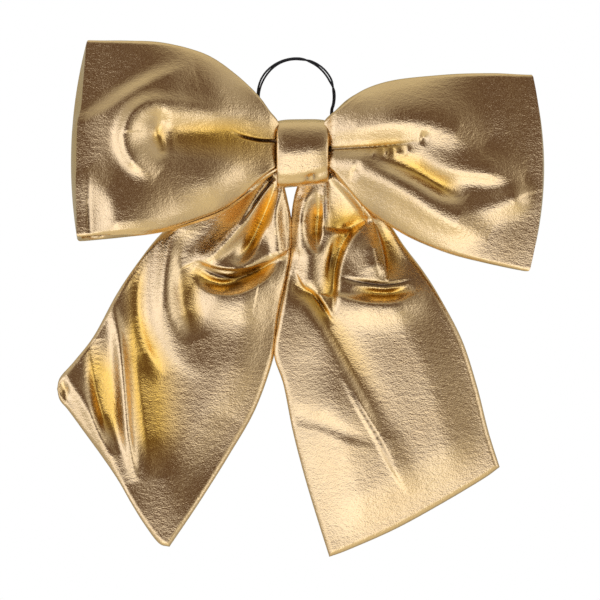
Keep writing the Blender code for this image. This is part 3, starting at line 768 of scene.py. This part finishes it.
def gold_cloth():
    """Foil-faced stretch cloth: a metal film over knit, crazed into a fine leathery grain.

    Hollows are tinted orange as a painted reflection of the light that folds of gold cloth throw back on
    themselves, and creases are tinted dark as painted shade."""
    made, nodes, links, shader = new_material("gold_lame_cloth")
    place = nodes.new("ShaderNodeTexCoord").outputs["Object"]
    tone = add_noise(nodes, links, place, 60, 3)
    colour = nodes.new("ShaderNodeMix")
    colour.data_type = "RGBA"
    colour.inputs["A"].default_value = (0.73, 0.50, 0.22, 1)
    colour.inputs["B"].default_value = (0.80, 0.585, 0.285, 1)
    links.new(tone, colour.inputs["Factor"])
    painted = colour.outputs["Result"]
    # Painted light: an orange painted reflection in the hollows and a dark painted shade in the creases,
    # mixed over the cloth's own colour.
    for tone_name, painted_colour in (("hollow_painted_reflection", (0.82, 0.49, 0.085, 1)), ("crease_painted_shade", (0.10, 0.05, 0.02, 1))):
        amount = nodes.new("ShaderNodeAttribute")
        amount.attribute_name = tone_name
        tinted = nodes.new("ShaderNodeMix")
        tinted.data_type = "RGBA"
        tinted.inputs["B"].default_value = painted_colour
        links.new(amount.outputs["Fac"], tinted.inputs["Factor"])
        links.new(painted, tinted.inputs["A"])
        painted = tinted.outputs["Result"]
    links.new(painted, shader.inputs["Base Color"])
    shader.inputs["Metallic"].default_value = 1.0
    shader.inputs["Specular Tint"].default_value = (0.95, 0.84, 0.62, 1)
    shader.inputs["Coat Weight"].default_value = 0.4
    shader.inputs["Coat Roughness"].default_value = 0.2

    grain = add_noise(nodes, links, place, 1600, 2, (0.9, 1.0, 1.15))
    crackle = add_noise(nodes, links, place, 480, 3, (0.8, 1.0, 1.3))
    soft = add_noise(nodes, links, place, 90, 2)
    roughness = add_range(nodes, links, grain, 0.3, 0.7, to_low=0.17, to_high=0.30)
    links.new(roughness, shader.inputs["Roughness"])
    bent = add_bump(nodes, links, soft, distance=0.0006, strength=0.2)
    bent = add_bump(nodes, links, crackle, distance=0.0004, strength=0.32, under=bent)
    bent = add_bump(nodes, links, grain, distance=0.0003, strength=0.4, under=bent)
    links.new(bent, shader.inputs["Normal"])
    return made


def elastic_cord():
    """Black covered elastic with a fine slanting braid."""
    made, nodes, links, shader = new_material("black_elastic_braid")
    place = nodes.new("ShaderNodeTexCoord").outputs["Object"]
    braid = nodes.new("ShaderNodeTexWave")
    braid.bands_direction = "DIAGONAL"
    braid.inputs["Scale"].default_value = 900
    braid.inputs["Distortion"].default_value = 1.5
    links.new(place, braid.inputs["Vector"])
    shader.inputs["Base Color"].default_value = (0.006, 0.005, 0.005, 1)
    shader.inputs["Roughness"].default_value = 0.6
    shader.inputs["Sheen Weight"].default_value = 0.03
    shader.inputs["Sheen Tint"].default_value = (0.5, 0.4, 0.4, 1)
    bent = add_bump(nodes, links, braid.outputs["Fac"], distance=0.00008, strength=0.5)
    links.new(bent, shader.inputs["Normal"])
    return made


def thread():
    """Matt gold sewing thread with a slanting twist."""
    made, nodes, links, shader = new_material("gold_thread_twist")
    place = nodes.new("ShaderNodeTexCoord").outputs["Object"]
    twist = nodes.new("ShaderNodeTexWave")
    twist.bands_direction = "DIAGONAL"
    twist.inputs["Scale"].default_value = 700
    links.new(place, twist.inputs["Vector"])
    shader.inputs["Base Color"].default_value = (0.55, 0.38, 0.16, 1)
    shader.inputs["Roughness"].default_value = 0.55
    shader.inputs["Sheen Weight"].default_value = 0.3
    bent = add_bump(nodes, links, twist.outputs["Fac"], distance=0.0002, strength=0.7)
    links.new(bent, shader.inputs["Normal"])
    return made


def floor_paper():
    """Pale paper that glows a little, so that it stays pale in the dim studio."""
    made, nodes, links, shader = new_material("floor_paper")
    place = nodes.new("ShaderNodeTexCoord").outputs["Object"]
    fibre = add_noise(nodes, links, place, 220, 3)
    shader.inputs["Base Color"].default_value = (0.88, 0.88, 0.87, 1)
    shader.inputs["Roughness"].default_value = 0.9
    shader.inputs["Emission Color"].default_value = (1, 1, 1, 1)
    shader.inputs["Emission Strength"].default_value = 0.34
    bent = add_bump(nodes, links, fibre, distance=0.0002, strength=0.15)
    links.new(bent, shader.inputs["Normal"])
    return made


# ---------------------------------------------------------------- studio

# Glows of the surroundings: (direction from the bow, cosine of the angle from it where the glow starts,
# cosine where it is full, colour added). A negative colour darkens.
GLOWS = [
    # The dim side behind the camera, and its darker middle.
    ((0.0, -0.95, 0.27), 0.35, 0.98, (-0.21, -0.23, -0.26)),
    ((0.0, -0.97, 0.24), 0.83, 0.99, (-0.22, -0.24, -0.26)),
    # Soft boxes: low in front, at the left and at the right.
    ((-0.15, -0.87, -0.48), 0.885, 0.96, (0.95, 1.08, 1.6)),
    ((-0.80, -0.58, -0.05), 0.86, 0.97, (0.98, 1.1, 1.65)),
    ((0.82, -0.57, -0.1), 0.90, 0.98, (0.9, 0.98, 1.3)),
    # A little more light from above and from below, and a little less from behind the bow.
    ((0.0, 0.2, 1.0), 0.55, 0.95, (0.20, 0.21, 0.16)),
    ((0.0, -0.5, -0.86), 0.60, 0.95, (0.34, 0.32, 0.20)),
    ((0.0, 1.0, 0.0), 0.30, 0.90, (-0.12, -0.12, -0.22)),
]
SURROUND = (0.56, 0.55, 0.58)
# Floor and camera, in metres. The camera stands CAMERA_DISTANCE in front of VIEW_CENTRE and sees
# VIEW_WIDTH there.
FLOOR_RADIUS = 1.25
FLOOR_Z = -0.42
CAMERA_DISTANCE = 2.2
VIEW_WIDTH = 0.258
VIEW_CENTRE = (-0.0011, -0.015, -0.0632)
SENSOR_WIDTH = 36


def build_world():
    """Pale surroundings that are dim on the camera's side, with soft boxes; the camera sees plain white."""
    world = bpy.data.worlds.new("studio")
    bpy.context.scene.world = world
    world.use_nodes = True
    nodes, links = world.node_tree.nodes, world.node_tree.links
    direction = nodes.new("ShaderNodeTexCoord").outputs["Generated"]
    total = None
    for towards, outer, inner, colour in GLOWS:
        dot = nodes.new("ShaderNodeVectorMath")
        dot.operation = "DOT_PRODUCT"
        dot.inputs[1].default_value = np.array(towards) / np.linalg.norm(towards)
        links.new(direction, dot.inputs[0])
        span = nodes.new("ShaderNodeMapRange")
        span.interpolation_type = "SMOOTHSTEP"
        span.inputs["From Min"].default_value = outer
        span.inputs["From Max"].default_value = inner
        links.new(dot.outputs["Value"], span.inputs["Value"])
        glow = nodes.new("ShaderNodeVectorMath")
        glow.operation = "MULTIPLY_ADD"
        glow.inputs[1].default_value = colour
        links.new(span.outputs["Result"], glow.inputs[0])
        if total is None:
            glow.inputs[2].default_value = SURROUND
        else:
            links.new(total, glow.inputs[2])
        total = glow.outputs["Vector"]
    light = nodes["Background"]
    links.new(total, light.inputs["Color"])
    seen = nodes.new("ShaderNodeBackground")
    seen.inputs["Color"].default_value = (1, 1, 1, 1)
    choose = nodes.new("ShaderNodeMixShader")
    links.new(nodes.new("ShaderNodeLightPath").outputs["Is Camera Ray"], choose.inputs["Fac"])
    links.new(light.outputs["Background"], choose.inputs[1])
    links.new(seen.outputs["Background"], choose.inputs[2])
    links.new(choose.outputs["Shader"], nodes["World Output"].inputs["Surface"])


def build_floor(material):
    """A round plain floor that the shiny cloth doesn't mirror."""
    place = (0, 0, FLOOR_Z)
    bpy.ops.mesh.primitive_circle_add(vertices=96, radius=FLOOR_RADIUS, fill_type="NGON", location=place)
    floor = bpy.context.object
    floor.name = "floor"
    floor.data.materials.append(material)
    floor.visible_glossy = False


def build_camera():
    """Level and straight at the bow, from far off so that depth hardly changes the scale."""
    camera = bpy.data.cameras.new("camera")
    camera.sensor_width = SENSOR_WIDTH
    camera.lens = SENSOR_WIDTH * CAMERA_DISTANCE / VIEW_WIDTH
    camera.clip_end = 30
    holder = bpy.data.objects.new("camera", camera)
    x, y, z = VIEW_CENTRE
    holder.location = (x, y - CAMERA_DISTANCE, z)
    holder.rotation_euler = (math.pi / 2, 0, 0)
    bpy.context.scene.collection.objects.link(holder)
    bpy.context.scene.camera = holder


def build_loops(cloth):
    """Both loops, each as one padded band in place of the CAD's loop cover and padding, which are hidden.
    """
    for word, loop, folds in (
        ("left", LEFT_LOOP, LEFT_LOOP_FOLDS),
        ("right", RIGHT_LOOP, RIGHT_LOOP_FOLDS),
    ):
        made = make_loop(f"{word}_loop_padded", loop, folds, cloth)
        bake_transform(made)
        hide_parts(f"{word}_loop_cover", f"{word}_loop_padding")


def build_tails(cloth):
    """Both tails, each as one padded sleeve in place of the CAD's tail cover and padding, which are hidden.
    """
    for word, piece, folds in (
        ("left", LEFT_TAIL, LEFT_TAIL_FOLDS),
        ("right", RIGHT_TAIL, RIGHT_TAIL_FOLDS),
    ):
        made = make_tail(f"{word}_tail_padded", piece, folds, cloth)
        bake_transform(made)
        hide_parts(f"{word}_tail_cover", f"{word}_tail_padding")


def build_knot(cloth, gold_thread):
    """The wrap and its stitches."""
    knot = make_knot(cloth)
    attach(knot, "knot")
    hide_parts("knot_wrap")
    stitches = make_stitches(gold_thread)
    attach(stitches, "knot")


def build_elastic(cord):
    """The ring of hair elastic."""
    elastic = make_elastic(cord)
    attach(elastic, "elastic")
    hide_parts("hair_elastic")


def build():
    """Load the frame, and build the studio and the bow."""
    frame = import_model()
    nodes = frame["nodes"]
    bpy.context.scene.view_settings.view_transform = "Standard"
    build_camera()
    build_world()
    build_floor(floor_paper())

    cloth, cord, gold_thread = gold_cloth(), elastic_cord(), thread()
    build_loops(cloth)
    build_tails(cloth)
    build_knot(cloth, gold_thread)
    build_elastic(cord)
    # The pieces inside the knot stay as they are in the CAD.
    for name, look in (("loop_gather", cloth), ("tail_gather", cloth), ("binding_thread", gold_thread)):
        nodes[name].material_slots[0].material = look


build()
